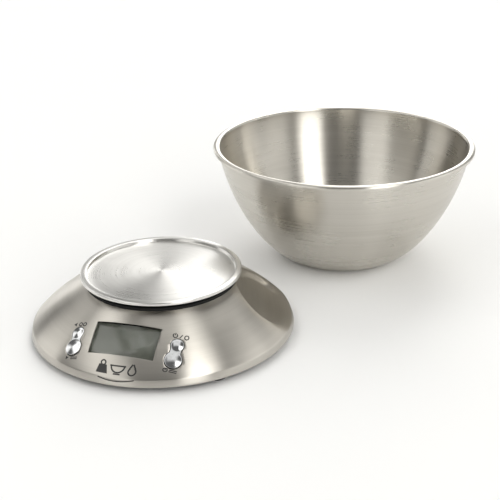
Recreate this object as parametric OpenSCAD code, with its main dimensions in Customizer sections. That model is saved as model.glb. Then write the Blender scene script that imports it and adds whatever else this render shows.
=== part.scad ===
// Kitchen scale with a mixing bowl: spun steel base, sprung weighing tray, display and two rocker buttons.
// Millimetres. The origin is the centre of the weighing face; the display faces -Y.

/* [Base] */
// Largest radius of the base
base_r = 100; // [90:1:110]
// Height of the hem's lower edge above the table
hem_bottom = 4.3; // [4.1:0.1:4.6]
// Height of the hem's upper edge above the table
hem_top = 10.2; // [10:0.1:10.8]
// Radius that the cone would reach at its top
cone_top_r = 50; // [48:0.5:52]
// Height that the cone would reach at its top
cone_top_z = 46; // [45:0.5:47]
// How far the cone's side bulges outwards
cone_bulge = 4.5; // [3:0.1:5]
// Thickness of the steel skin
skin_t = 0.8; // [0.6:0.1:1]
// Radius of the pan that closes the base
pan_r = 96.5; // [95:0.1:97]
// Thickness of the pan's plate
pan_t = 2.2; // [2:0.1:2.4]

/* [Finger scoop] */
// Direction of the scoop's centre line, from +X
scoop_az = 17; // [0:1:30]
// Radius at which the scoop starts
scoop_in_r = 55; // [54:0.5:57]
// Height at which the scoop starts
scoop_in_z = 43; // [42:0.5:44]
// Radius at which the scoop runs out
scoop_out_r = 97; // [94:0.5:98]
// Height at which the scoop runs out
scoop_out_z = 9.4; // [9.2:0.1:10]
// Dip of the floor below the line between its two ends
scoop_sag = 4.8; // [3:0.1:5.5]
// Radius of the floor across the scoop
scoop_cross_r = 200; // [160:5:240]

/* [Weighing tray] */
// Height of the weighing face above the table
face_z = 47.6; // [47.4:0.1:48]
// Outer radius of the tray
tray_r = 60.7; // [58:0.1:63]
// Height of the tray's rim above the weighing face
tray_rim_h = 2.4; // [2:0.1:3]
// Thickness of the tray's sheet
tray_t = 0.6; // [0.5:0.1:0.8]
// Radius of the carrier below the tray
carrier_r = 56.8; // [55:0.1:57.5]

/* [Display panel] */
// Width of the window
window_w = 48.5; // [44:0.5:50]
// Height of the window along the slope
window_h = 24.8; // [22:0.2:26]
// Slope of the display panel
panel_tilt = 36; // [35:0.5:37]
// Distance of the panel's centre in front of the tray's axis
panel_y = 75.4; // [75:0.1:76]
// Height of the panel's centre above the table
panel_z = 26.7; // [26:0.1:27]

/* [Buttons] */
// Distance of each rocker from the middle of the panel
rocker_x = 37.3; // [36:0.1:38]
// Distance of the rocker's waist in front of the tray's axis
rocker_y = 76.2; // [75:0.1:77]
// Height of the rocker's waist above the table
rocker_z = 22.8; // [22:0.1:23.5]
// Radius of the small upper pad
pad_top_r = 4.6; // [4:0.1:5]
// Radius of the large lower pad
pad_bottom_r = 6.1; // [5:0.1:6.5]
// Distance between the two pads
pad_pitch = 11.6; // [11:0.1:12]
// Gap between a rocker and its hole
rocker_gap = 0.55; // [0.4:0.05:0.8]

/* [Load cell] */
// Length of the load cell
cell_l = 80; // [75:1:80]
// Height and width of the load cell
cell_w = 12.7; // [12:0.1:13]
// Height of its underside above the table
cell_z = 17; // [16.5:0.1:17.5]

/* [Batteries] */
// Diameter of one cell
battery_d = 10.5; // [10:0.1:10.6]
// Length of one cell
battery_l = 44.5; // [44:0.1:45]
// Distance of the compartment's middle behind the tray's axis
battery_y = 52; // [50:1:54]

/* [Feet] */
// Radius of one foot
foot_r = 6.5; // [5:0.1:7]
// Distance of each foot from the tray's axis
foot_ring_r = 88.5; // [86:0.5:89]

/* [Bowl] */
// Position of the bowl beside the scale, along X
bowl_x = 102; // [102:1:140]
// Position of the bowl beside the scale, along Y
bowl_y = 179; // [179:1:220]
// Outer radius of the bowl's rim
bowl_rim_r = 111.3; // [108:0.1:115]
// Height of the bowl
bowl_h = 99.8; // [95:0.1:105]
// Outer radius of the wall just below the rim
bowl_wall_r = 106.8; // [104:0.1:107.5]
// Radius of the bowl's flat base
bowl_base_r = 43; // [40:1:50]
// Thickness of the bowl's wall
bowl_t = 1; // [0.8:0.1:1.2]

/* [Hidden] */

// Colours
STEEL = "#b9b3aa";
BLACK = "#1b1b1c";
CHROME = "#d8dadd";
ZINC = "#9fa3a6";
ALUMINIUM = "#c3c6c9";

// Roundness
FINE = 96;
SMALL = 32;
// Running gap between pieces of different bodies
RUN = 0.3;
// How far a cutter goes past the face it cuts
OVER = 1;
// How far a post or rib runs into the piece it stands on
ROOT = 0.5;

// Heights above the table
pan_z = hem_bottom - 1.2;
pan_top = pan_z + pan_t;
skin_edge_z = 43.6;
collar_top = 44.4;
carrier_z = 45.2;
tray_z = face_z - tray_t;
cell_top = cell_z + cell_w;
// Play below the moving pieces for the tray's travel
travel_gap = 0.8;

// Base cone; its curve would reach the base's radius at this height
cone_foot_z = 9;
cone_steps = 12;
hem_lip_r = base_r - 4;
collar_r = 57.3;
collar_in_r = 46;
post_r = 4;
post_ring_r = 49;
screw_r = 1.45;
screw_head_r = 2.8;
screw_head_h = 1.2;
screw_l = 12;
pilot_l = 14;
screw_clear_r = screw_r + 0.2;
stop_seat_z = pan_top + 1;

// Load cell
cell_hole_r = 2.6;
cell_hole_x = [-34, -26, 26, 34];
cell_mid_x = 30;
cell_screw_r = 1.7;
cell_head_r = 3.5;
cell_head_h = 2.2;
cell_clear_r = 2.1;
sink_r = 3.8;
spacer_t = 3;
spacer_w = 20;

// Display stack, as depths below the panel's plane
lens_z = -2.5;
lens_t = 1.2;
lens_w = window_w + 2.4;
lens_h = window_h + 2;
lcd_z = -5;
lcd_t = 2.2;
lcd_w = window_w + 1.6;
lcd_h = window_h + 1.2;
frame_z = -8;
frame_t = 5.6;
board_z = -12;
board_t = 1.6;
board_w = 90;
board_h = 30;
board_screw_x = 27.5;
board_screw_y = 12.6;
board_screw_r = 1;
frame_leg_x = 24;
frame_leg_y = -49;

// Rockers lean sideways with the cone
rocker_lean = 15.1;
rocker_tilt = 33;
rocker_depth = 3.2;
rocker_proud = 1.6;
// Axle under each rocker's waist, which turns in a bearing on the board
axle_r = 0.9;
axle_l = 12.8;
axle_depth = 2.2;
// Place of the rockers' waist up the panel
waist_y = -2.9;

// Routes of the leads, as points above the table
battery_wire_route = [
    [-32, 46, 11], [-36, 44, 10], [-42, 38, 8], [-46, 28, 7.2], [-47, 14, 7.2], [-47, -4, 7.2],
    [-46, -20, 7.2], [-43, -34, 7.4], [-39, -46, 9], [-35, -56, 13], [-34, -61, 18]
];
gauge_cable_route = [
    [-10, -7.5, 28], [-10, -10, 27], [-11, -14, 24], [-12, -20, 18], [-13, -28, 12.5], [-13, -38, 11],
    [-12, -46, 12], [-11, -52, 15], [-10, -56, 19]
];

// Battery compartment
bay_l = 53;
bay_w = 24;
bay_wall = 1.4;
bay_top = 16.4;
battery_z = 4.3 + battery_d / 2;
// Each cell's distance from the compartment's middle
cell_off_y = 5.8;
door_l = 59;
door_w = 29;
door_t = 1.4;
door_z = pan_z - RUN - door_t;

// Bowl
bowl_steps = 14;
bowl_curve_h = bowl_h - 2.6;

// Radius of the cone's outer face at height z above the table
function cone_t(z) = (z - cone_foot_z) / (cone_top_z - cone_foot_z);
function cone_r(z) = base_r + (cone_top_r - base_r) * cone_t(z)
    + 4 * cone_bulge * cone_t(z) * (1 - cone_t(z));
function cone_points(inset, top) = [
    for (i = [0:cone_steps])
        let (z = hem_top + (top - hem_top) * i / cone_steps)
        [cone_r(z) - inset, z]
];
function reversed(list) = [for (i = [len(list) - 1:-1:0]) list[i]];

// Outline of the bowl's wall, from the base (angle 0) to the rim (angle 90)
function bowl_r(a) = bowl_base_r + (bowl_wall_r - bowl_base_r) * pow(sin(a), 1.18);
function bowl_z(a) = bowl_curve_h * (1 - pow(cos(a), 1.43));

// Places heights above the table into the part's own frame
module on_table() {
    translate([0, 0, -face_z])
        children();
}

// Places a piece on the display panel: x across, y up the slope, z out of the face
module on_panel() {
    translate([0, -panel_y, panel_z])
        rotate([panel_tilt, 0, 0])
            children();
}

// Places a piece at a rocker's waist on the left (-1) or the right (1)
module on_rocker(side) {
    translate([side * rocker_x, -rocker_y, rocker_z])
        rotate([rocker_tilt, 0, 0])
            rotate([0, side * rocker_lean, 0])
                children();
}

// Box centred in x and y, standing on z = 0
module block(w, d, h) {
    translate([-w / 2, -d / 2, 0])
        cube([w, d, h]);
}

// Box with round upright corners
module round_block(w, d, h, r) {
    union() {
        block(w - 2 * r, d, h);
        block(w, d - 2 * r, h);
        for (x = [-1, 1])
            for (y = [-1, 1])
                translate([x * (w / 2 - r), y * (d / 2 - r), 0])
                    cylinder(h = h, r = r, $fn = SMALL);
    }
}

// Direction of a route at its point i
function route_dir(points, i) =
    let (step = points[min(i + 1, len(points) - 1)] - points[max(i - 1, 0)])
    step / norm(step);

// Ring of points round a route at its point i
function route_ring(points, i, r, sides) =
    let (along = route_dir(points, i))
    let (across = cross(along, [1, 0, 0]))
    let (u = across / norm(across))
    let (v = cross(along, u))
    [for (k = [0:sides - 1]) points[i] + r * (cos(360 * k / sides) * u + sin(360 * k / sides) * v)];

// Round wire swept along a list of points
module wire(points, r) {
    sides = 8;
    last = len(points) - 1;
    polyhedron(
        points = [for (i = [0:last]) each route_ring(points, i, r, sides)],
        faces = concat(
            [[for (k = [0:sides - 1]) k]],
            [
                for (i = [0:last - 1])
                    for (k = [0:sides - 1])
                        let (next = (k + 1) % sides)
                        [i * sides + k, (i + 1) * sides + k, (i + 1) * sides + next, i * sides + next]
            ],
            [[for (k = [sides - 1:-1:0]) last * sides + k]]
        )
    );
}

// Self-tapping screw, head down at z = 0 and shank up
module screw(shank_r, head_r, head_h, length) {
    cylinder(h = head_h, r = head_r, $fn = SMALL);
    cylinder(h = length, r = shank_r, $fn = SMALL);
}

// Solid that hollows the finger scoop; grow thickens it by the skin
module scoop_form(grow) {
    run_r = scoop_out_r - scoop_in_r;
    run_z = scoop_in_z - scoop_out_z;
    chord = norm([run_r, run_z]);
    slope = atan2(run_z, run_r);
    bend_r = (chord * chord / 4 + scoop_sag * scoop_sag) / (2 * scoop_sag);
    half = asin(chord / 2 / bend_r);
    steps = 12;
    cutter_h = 60;
    floor_points = [
        for (i = [-steps:2:steps])
            let (a = half * i / steps)
            [scoop_cross_r + grow + scoop_sag - bend_r * (1 - cos(a)), bend_r * sin(a)]
    ];
    rotate([0, 0, scoop_az])
        translate([(scoop_in_r + scoop_out_r) / 2, 0, (scoop_in_z + scoop_out_z) / 2])
            rotate([0, 90 + slope, 0])
                translate([-scoop_cross_r, 0, 0])
                    rotate_extrude($fn = 240)
                        polygon(concat(
                            [[scoop_cross_r - cutter_h, -chord / 2 - grow]],
                            [[scoop_cross_r + grow, -chord / 2 - grow]],
                            floor_points,
                            [[scoop_cross_r + grow, chord / 2 + grow]],
                            [[scoop_cross_r - cutter_h, chord / 2 + grow]]
                        ));
}

// Figure-of-eight outline of a rocker, grown by gap
module rocker_outline(gap) {
    waist_r = 3.7;
    translate([0, pad_pitch / 2])
        circle(r = pad_top_r + gap, $fn = 48);
    translate([0, -pad_pitch / 2])
        circle(r = pad_bottom_r + gap, $fn = 48);
    translate([-waist_r - gap, -pad_pitch / 2])
        square([2 * (waist_r + gap), pad_pitch]);
}

// Spun steel cone with a hem, a window, two rocker holes and the finger scoop
module top_shell() {
    edge_r = cone_r(skin_edge_z);
    corner = 0.6;
    cutter_h = 12;
    cutter_sink = 4;
    // Room inside the cone for the scoop's skin, at the top and at the bottom
    top_room = 6;
    bottom_room = 40;
    color(STEEL)
        on_table()
            difference() {
                rotate_extrude($fn = 180)
                    polygon(concat(
                        [
                            [hem_lip_r, hem_bottom], [base_r - corner, hem_bottom],
                            [base_r, hem_bottom + corner]
                        ],
                        cone_points(0, skin_edge_z),
                        [[edge_r - top_room, skin_edge_z], [hem_lip_r - bottom_room, hem_bottom]]
                    ));
                difference() {
                    rotate_extrude($fn = 180)
                        polygon(concat(
                            [[0, hem_bottom + skin_t], [base_r - skin_t, hem_bottom + skin_t]],
                            cone_points(skin_t, skin_edge_z),
                            [[edge_r - skin_t, skin_edge_z + OVER], [0, skin_edge_z + OVER]]
                        ));
                    scoop_form(skin_t);
                }
                cylinder(h = cone_foot_z, r = hem_lip_r, $fn = 180);
                scoop_form(0);
                on_panel()
                    translate([0, 0, -cutter_sink])
                        block(window_w, window_h, cutter_h);
                for (side = [-1, 1])
                    on_rocker(side)
                        translate([0, 0, -cutter_h / 2])
                            linear_extrude(cutter_h)
                                rocker_outline(rocker_gap);
            }
}

// Black ring that trims the cone's upper edge, with four screw posts down to the pan
module collar() {
    // Foot of the ring inside the cone, and seat on the cone's edge
    foot_z = skin_edge_z - 1.8;
    foot_w = 3;
    seat_z = skin_edge_z + 0.1;
    seat_in_r = collar_in_r + 5;
    // Lip that hangs over the edge
    lip_r = collar_r - 1.9;
    lip_z = 43.2;
    band_z = 42.1;
    corner = 0.5;
    color(BLACK)
        on_table()
            difference() {
                union() {
                    rotate_extrude($fn = FINE)
                        polygon([
                            [collar_in_r, foot_z], [collar_in_r + foot_w, foot_z],
                            [seat_in_r, seat_z], [cone_r(skin_edge_z), seat_z],
                            [lip_r, lip_z], [collar_r, band_z],
                            [collar_r, collar_top - corner], [collar_r - corner, collar_top],
                            [collar_in_r, collar_top]
                        ]);
                    for (a = [45:90:315])
                        rotate([0, 0, a])
                            translate([post_ring_r, 0, pan_top])
                                cylinder(h = skin_edge_z - pan_top, r = post_r, $fn = SMALL);
                }
                for (a = [45:90:315])
                    rotate([0, 0, a])
                        translate([post_ring_r, 0, pan_top - OVER])
                            cylinder(h = pilot_l, r = screw_r, $fn = SMALL);
            }
}

// Black pan that closes the base, with the battery compartment and the load cell's posts
module base_pan() {
    // Load cell's post, and the post below its free end
    post_w = 22;
    post_d = 18;
    post_z = cell_z - spacer_t;
    stop_r = 5;
    stop_z = cell_z - 3 * travel_gap;
    stop_hole_r = 1.5;
    // Rails that the door's ends slide in
    rail_t = 1.6;
    rail_lip = 0.8;
    rail_lip_w = 4.2;
    rail_inset = 2;
    rail_l = door_w - 2 * rail_inset;
    rail_z = door_z - RUN - rail_lip;
    rail_x = door_l / 2 + RUN + rail_t / 2;
    lip_shift = 0.2;
    lip_x = door_l / 2 - lip_shift;
    foot_hole_r = 2.2;
    sink_h = 3.4;
    color(BLACK)
        on_table()
            difference() {
                union() {
                    translate([0, 0, pan_z])
                        cylinder(h = hem_bottom - pan_z, r = pan_r, $fn = FINE);
                    translate([0, 0, pan_z])
                        cylinder(h = pan_t, r = hem_lip_r - RUN, $fn = FINE);
                    translate([-cell_mid_x, 0, pan_top - ROOT])
                        block(post_w, post_d, post_z - pan_top + ROOT);
                    translate([cell_hole_x[3], 0, pan_top - ROOT])
                        cylinder(h = stop_z - pan_top + ROOT, r = stop_r, $fn = SMALL);
                    translate([0, battery_y, pan_top - ROOT])
                        block(bay_l + 2 * bay_wall, bay_w + 2 * bay_wall, bay_top - pan_top + ROOT);
                    for (x = [-1, 1])
                        translate([x * rail_x, battery_y, rail_z])
                            block(rail_t, rail_l, pan_z - rail_z + ROOT);
                    for (x = [-1, 1])
                        translate([x * lip_x, battery_y, rail_z])
                            block(rail_lip_w, rail_l, rail_lip);
                }
                translate([0, battery_y, pan_z - OVER])
                    block(bay_l, bay_w, bay_top - bay_wall - pan_z + OVER);
                for (a = [45:90:315])
                    rotate([0, 0, a]) {
                        translate([post_ring_r, 0, pan_z - OVER])
                            cylinder(h = pan_t + 2 * OVER, r = screw_clear_r, $fn = SMALL);
                        translate([foot_ring_r, 0, pan_z - OVER])
                            cylinder(h = pan_t + 2 * OVER, r = foot_hole_r, $fn = SMALL);
                    }
                for (x = [-1, 1])
                    translate([x * frame_leg_x, frame_leg_y, pan_z - OVER])
                        cylinder(h = pan_t + 2 * OVER, r = screw_clear_r, $fn = SMALL);
                for (x = [cell_hole_x[0], cell_hole_x[1]])
                    translate([x, 0, pan_z - OVER]) {
                        cylinder(h = cell_z, r = cell_clear_r, $fn = SMALL);
                        cylinder(h = sink_h, r = sink_r, $fn = SMALL);
                    }
                translate([cell_hole_x[3], 0, stop_seat_z])
                    cylinder(h = cell_z, r = stop_hole_r, $fn = SMALL);
            }
}

// Sliding battery door with three grip bars
module battery_door() {
    bar_l = 18;
    bar_w = 1.1;
    bar_pitch = 2.4;
    bar_h = 0.5;
    bar_start = 4;
    color(BLACK)
        on_table()
            translate([0, battery_y, door_z]) {
                block(door_l, door_w, door_t);
                for (i = [0:2])
                    translate([0, -door_w / 2 + bar_start + bar_pitch * i, -bar_h])
                        block(bar_l, bar_w, bar_h + ROOT);
            }
}

// One AAA cell lying along X; turn is 0 or 180
module battery(y, turn) {
    can_l = battery_l - 1;
    tip_r = 1.9;
    on_table()
        translate([0, y, battery_z])
            rotate([0, 0, turn])
                rotate([0, 90, 0])
                    translate([0, 0, -battery_l / 2]) {
                        color("#2f5d8a")
                            cylinder(h = can_l, r = battery_d / 2, $fn = FINE);
                        color(CHROME)
                            translate([0, 0, can_l])
                                cylinder(h = battery_l - can_l, r = tip_r, $fn = SMALL);
                    }
}

module battery_1() {
    battery(battery_y - cell_off_y, 0);
}

module battery_2() {
    battery(battery_y + cell_off_y, 180);
}

// Plated springs and plates at the two ends of the compartment
module battery_contacts() {
    plate_x = bay_l / 2 - 0.4;
    plate_t = 0.6;
    plate_w = 21;
    plate_h = 9;
    coil_r = 2.2;
    coil_t = 0.5;
    coil_w = 0.7;
    coil_pitch = 0.75;
    coil_growth = 0.35;
    coil_start = battery_l / 2 + 0.55;
    button_r = 1.6;
    button_l = 3;
    button_back = 1.6;
    color(ZINC)
        on_table()
            translate([0, battery_y, battery_z])
                for (end = [-1, 1]) {
                    translate([end * plate_x, 0, -plate_h / 2])
                        block(plate_t, plate_w, plate_h);
                    for (i = [0:3])
                        translate([end * (coil_start + i * coil_pitch), end * cell_off_y, 0])
                            rotate([0, 90, 0])
                                difference() {
                                    cylinder(
                                        h = coil_t, r = coil_r + i * coil_growth,
                                        center = true, $fn = SMALL
                                    );
                                    cylinder(
                                        h = 4 * coil_t, r = coil_r - coil_w + i * coil_growth,
                                        center = true, $fn = SMALL
                                    );
                                }
                    translate([end * (plate_x - button_back), -end * cell_off_y, 0])
                        rotate([0, 90, 0])
                            cylinder(h = button_l, r = button_r, center = true, $fn = SMALL);
                }
}

// Two insulated wires from the compartment to the board
module battery_wires() {
    wire_r = 0.65;
    wire_pitch = 2;
    on_table()
        for (i = [0, 1])
            color(i == 0 ? "#b02a24" : BLACK)
                wire([for (p = battery_wire_route) p + [wire_pitch * i, 0, 0]], wire_r);
}

// Rubber foot, pressed into the pan by a stem
module foot(a) {
    corner = 0.7;
    stem_r = 2.1;
    color("#202022")
        on_table()
            rotate([0, 0, a])
                translate([foot_ring_r, 0, 0])
                    rotate_extrude($fn = 48)
                        polygon([
                            [0, 0], [foot_r - corner, 0], [foot_r, corner], [foot_r, pan_z],
                            [stem_r, pan_z], [stem_r, pan_top], [0, pan_top]
                        ]);
}

module foot_front_left() {
    foot(225);
}

module foot_front_right() {
    foot(315);
}

module foot_rear_left() {
    foot(135);
}

module foot_rear_right() {
    foot(45);
}

// Six screws that hold the pan to the collar's posts and the display frame's legs
module pan_screws() {
    color(ZINC)
        on_table() {
            for (a = [45:90:315])
                rotate([0, 0, a])
                    translate([post_ring_r, 0, pan_z - screw_head_h])
                        screw(screw_r, screw_head_r, screw_head_h, screw_l);
            for (x = [-1, 1])
                translate([x * frame_leg_x, frame_leg_y, pan_z - screw_head_h])
                    screw(screw_r, screw_head_r, screw_head_h, screw_l);
        }
}

// Blank rating label under the pan
module rating_label() {
    label_t = 0.15;
    label_w = 46;
    label_d = 24;
    label_y = -22;
    corner = 2;
    color("#d9d9d6")
        on_table()
            translate([0, label_y, pan_z - label_t])
                round_block(label_w, label_d, label_t, corner);
}

// Aluminium single-point load cell with its two joined bores
module load_cell() {
    bore_r = 4.6;
    bore_x = 7.5;
    slot_h = 2;
    thread_r = 1.75;
    color(ALUMINIUM)
        on_table()
            translate([0, 0, cell_z])
                difference() {
                    block(cell_l, cell_w, cell_w);
                    for (x = [-1, 1])
                        translate([x * bore_x, cell_w, cell_w / 2])
                            rotate([90, 0, 0])
                                cylinder(h = 2 * cell_w, r = bore_r, $fn = 48);
                    translate([0, 0, (cell_w - slot_h) / 2])
                        block(2 * bore_x, 2 * cell_w, slot_h);
                    for (x = [cell_hole_x[0], cell_hole_x[1]])
                        translate([x, 0, -OVER])
                            cylinder(h = cell_w + 2 * OVER, r = thread_r, $fn = SMALL);
                    for (x = [cell_hole_x[2], cell_hole_x[3]])
                        translate([x, 0, -OVER])
                            cylinder(h = cell_w + 2 * OVER, r = cell_hole_r, $fn = SMALL);
                }
}

// White potting over the strain gauges, above and below
module gauge_potting() {
    potting_t = 1;
    potting_l = 26;
    potting_w = cell_w - 2;
    corner = 2;
    color("#e6e6e2")
        on_table()
            for (z = [cell_z - potting_t, cell_top])
                translate([0, 0, z])
                    round_block(potting_l, potting_w, potting_t, corner);
}

// Gauge lead from the load cell to the board
module gauge_cable() {
    cable_r = 0.9;
    color("#8a8d90")
        on_table()
            wire(gauge_cable_route, cable_r);
}

// Steel spacer plate with two screw holes
module cell_spacer() {
    corner = 1.5;
    difference() {
        round_block(spacer_w, cell_w, spacer_t, corner);
        for (x = [cell_hole_x[2], cell_hole_x[3]])
            translate([x - cell_mid_x, 0, -OVER])
                cylinder(h = spacer_t + 2 * OVER, r = cell_clear_r, $fn = SMALL);
    }
}

// Spacer between the pan's post and the cell's fixed end
module cell_spacer_lower() {
    color(ZINC)
        on_table()
            translate([-cell_mid_x, 0, cell_z - spacer_t])
                cell_spacer();
}

// Two machine screws up through the pan into the cell's fixed end
module cell_screws_lower() {
    short_of_top = 3;
    color(ZINC)
        on_table()
            for (x = [cell_hole_x[0], cell_hole_x[1]])
                translate([x, 0, pan_z])
                    screw(cell_screw_r, cell_head_r, cell_head_h, cell_top - pan_z - short_of_top);
}

// Grub screw that stops the cell's free end when the scale is overloaded
module overload_stop_screw() {
    key_r = 0.7;
    key_depth = 1.5;
    color(ZINC)
        on_table()
            translate([cell_hole_x[3], 0, stop_seat_z])
                difference() {
                    cylinder(h = cell_z - travel_gap - stop_seat_z, r = screw_r, $fn = SMALL);
                    translate([0, 0, -OVER])
                        cylinder(h = key_depth + OVER, r = key_r, $fn = SMALL);
                }
}

// Spacer between the cell's free end and the carrier
module cell_spacer_upper() {
    color(ZINC)
        on_table()
            translate([cell_mid_x, 0, cell_top + travel_gap])
                cell_spacer();
}

// Two machine screws down through the carrier towards the cell's free end
module cell_screws_upper() {
    head_top_z = tray_z - 0.3;
    tip_z = cell_z + 4.7;
    color(ZINC)
        on_table()
            for (x = [cell_hole_x[2], cell_hole_x[3]])
                translate([x, 0, head_top_z])
                    rotate([180, 0, 0])
                        screw(cell_screw_r, cell_head_r, cell_head_h, head_top_z - tip_z);
}

// Black carrier that holds the tray on the load cell, with a deep boss and stiffening ribs
module platform_carrier() {
    boss_z = cell_top + travel_gap + spacer_t;
    rib_t = 1.6;
    rib_z = 39;
    rib_l = 84;
    ring_r = 43;
    boss_w = 22;
    boss_d = 16;
    boss_corner = 3;
    sink_z = tray_z - cell_head_h - 0.4;
    color(BLACK)
        on_table()
            difference() {
                union() {
                    translate([0, 0, carrier_z])
                        cylinder(h = tray_z - carrier_z, r = carrier_r, $fn = FINE);
                    translate([cell_mid_x, 0, boss_z])
                        round_block(boss_w, boss_d, carrier_z - boss_z + ROOT, boss_corner);
                    for (a = [0:45:135])
                        rotate([0, 0, a])
                            translate([0, 0, rib_z])
                                block(rib_l, rib_t, carrier_z - rib_z + ROOT);
                    translate([0, 0, rib_z])
                        difference() {
                            cylinder(h = carrier_z - rib_z + ROOT, r = ring_r, $fn = FINE);
                            translate([0, 0, -OVER])
                                cylinder(h = carrier_z - rib_z + OVER, r = ring_r - rib_t, $fn = FINE);
                        }
                }
                for (x = [cell_hole_x[2], cell_hole_x[3]]) {
                    translate([x, 0, boss_z - OVER])
                        cylinder(h = tray_z - boss_z + 2 * OVER, r = cell_clear_r, $fn = SMALL);
                    translate([x, 0, sink_z])
                        cylinder(h = cell_head_h + OVER, r = sink_r, $fn = SMALL);
                }
            }
}

// Stamped steel tray: flat floor, sloping inner wall and a turned-down rim
module weighing_tray() {
    rim_z = face_z + tray_rim_h;
    floor_r = tray_r - 5.8;
    color("#d6d4d0")
        on_table()
            rotate_extrude($fn = 180)
                polygon([
                    [0, tray_z], [floor_r + 0.2, tray_z], [tray_r - 1.5, rim_z - 0.8],
                    [tray_r - tray_t, rim_z - 0.8], [tray_r - tray_t, tray_z], [tray_r, tray_z],
                    [tray_r, rim_z - 0.6], [tray_r - 0.2, rim_z - 0.15], [tray_r - 0.6, rim_z],
                    [tray_r - 1.2, rim_z], [tray_r - 1.7, rim_z - 0.25], [floor_r, face_z], [0, face_z]
                ]);
}

// Clear window pane below the opening
module window_lens() {
    color([0.8, 0.85, 0.85, 0.5])
        on_table()
            on_panel()
                translate([0, 0, lens_z])
                    block(lens_w, lens_h, lens_t);
}

// Liquid-crystal display, blank
module lcd_glass() {
    color("#7a7d70")
        on_table()
            on_panel()
                translate([0, 0, lcd_z])
                    block(lcd_w, lcd_h, lcd_t);
}

// Two rubber contact strips between the display and the board
module lcd_contact_strips() {
    strip_h = lcd_z - board_z - board_t;
    strip_w = 1.8;
    strip_y = window_h / 2 - 1.7;
    strip_l = window_w - 6;
    color("#3a3a3c")
        on_table()
            on_panel()
                for (y = [-1, 1])
                    translate([0, y * strip_y, board_z + board_t])
                        block(strip_l, strip_w, strip_h);
}

// Black frame that holds the lens, the display and the board, on two legs
module display_frame() {
    frame_w = 59;
    frame_h = 31.5;
    arm_z = 28;
    arm_t = 3.4;
    arm_w = 6;
    arm_l = 17;
    boss_r = 1.9;
    // Clearance round the lens and the display, and the opening behind them
    fit = 0.2;
    opening_w = window_w - 3;
    opening_h = window_h - 0.4;
    pilot_depth = 2;
    color(BLACK)
        on_table()
            difference() {
                union() {
                    on_panel()
                        translate([0, 0, frame_z])
                            block(frame_w, frame_h, frame_t);
                    on_panel()
                        for (x = [-1, 1])
                            translate([x * board_screw_x, board_screw_y, board_z + board_t])
                                cylinder(h = frame_z - board_z - board_t + OVER, r = boss_r, $fn = SMALL);
                    for (x = [-1, 1]) {
                        translate([x * frame_leg_x, frame_leg_y, pan_top])
                            cylinder(h = arm_z + arm_t - pan_top, r = post_r, $fn = SMALL);
                        translate([x * frame_leg_x, frame_leg_y - arm_l / 2 + 1, arm_z])
                            block(arm_w, arm_l, arm_t);
                    }
                }
                on_panel() {
                    translate([0, 0, lens_z])
                        block(lens_w + fit, lens_h + fit, -frame_z);
                    translate([0, 0, lcd_z])
                        block(lcd_w + fit, lcd_h + fit, -frame_z);
                    translate([0, 0, frame_z - OVER])
                        block(opening_w, opening_h, -frame_z);
                    for (x = [-1, 1])
                        translate([x * board_screw_x, board_screw_y, board_z])
                            cylinder(h = -frame_z - pilot_depth, r = board_screw_r, $fn = SMALL);
                }
                for (x = [-1, 1])
                    translate([x * frame_leg_x, frame_leg_y, pan_top - OVER])
                        cylinder(h = pilot_l, r = screw_r, $fn = SMALL);
            }
}

// Green circuit board behind the display, as wide as both rockers
module main_board() {
    hole_r = board_screw_r + 0.3;
    color("#2c6b3f")
        on_table()
            on_panel()
                translate([0, 0, board_z])
                    difference() {
                        block(board_w, board_h, board_t);
                        for (x = [-1, 1])
                            translate([x * board_screw_x, board_screw_y, -OVER])
                                cylinder(h = board_t + 2 * OVER, r = hole_r, $fn = SMALL);
                    }
}

// Controller under its black resin drop, on the back of the board
module control_chip() {
    drop_h = 1.4;
    drop_x = 6;
    drop_y = 3;
    drop_r = 7;
    drop_low_r = 5;
    color(BLACK)
        on_table()
            on_panel()
                translate([drop_x, drop_y, board_z - drop_h])
                    cylinder(h = drop_h, r1 = drop_low_r, r2 = drop_r, $fn = SMALL);
}

// Four key switches, one below each pad of each rocker
module key_switches() {
    key_w = 6;
    key_h = 2;
    plunger_r = 1.5;
    plunger_h = 2.5;
    key_x = rocker_x - 1;
    color(ZINC)
        on_table()
            on_panel()
                for (x = [-1, 1])
                    for (y = [waist_y - pad_pitch / 2, waist_y + pad_pitch / 2])
                        translate([x * key_x, y, board_z + board_t]) {
                            block(key_w, key_w, key_h);
                            cylinder(h = plunger_h, r = plunger_r, $fn = SMALL);
                        }
}

// Two screws that hold the board to the display frame
module board_screws() {
    head_r = 2.2;
    head_h = 1;
    length = 6.5;
    color(ZINC)
        on_table()
            on_panel()
                for (x = [-1, 1])
                    translate([x * board_screw_x, board_screw_y, board_z - head_h])
                        screw(board_screw_r, head_r, head_h, length);
}

// Two plastic cradles on the board that hold the rockers' axles
module rocker_bearings() {
    plate_l = 13.4;
    plate_w = 3.6;
    plate_t = 1;
    cheek_t = 1.4;
    cheek_h = 12;
    cutter_h = 20;
    play = 0.15;
    color(BLACK)
        on_table()
            for (side = [-1, 1])
                difference() {
                    intersection() {
                        on_panel()
                            translate([side * rocker_x, waist_y, board_z + board_t]) {
                                block(plate_l, plate_w, plate_t);
                                for (x = [-1, 1])
                                    translate([x * (plate_l - cheek_t) / 2, 0, 0])
                                        block(cheek_t, plate_w, cheek_h);
                            }
                        on_rocker(side)
                            translate([0, 0, -cutter_h])
                                block(2 * plate_l, 4 * plate_w, cutter_h - axle_depth);
                    }
                    on_rocker(side)
                        translate([-plate_l, 0, -axle_depth])
                            rotate([0, 90, 0])
                                cylinder(h = 2 * plate_l, r = axle_r + play, $fn = SMALL);
                }
}

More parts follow.
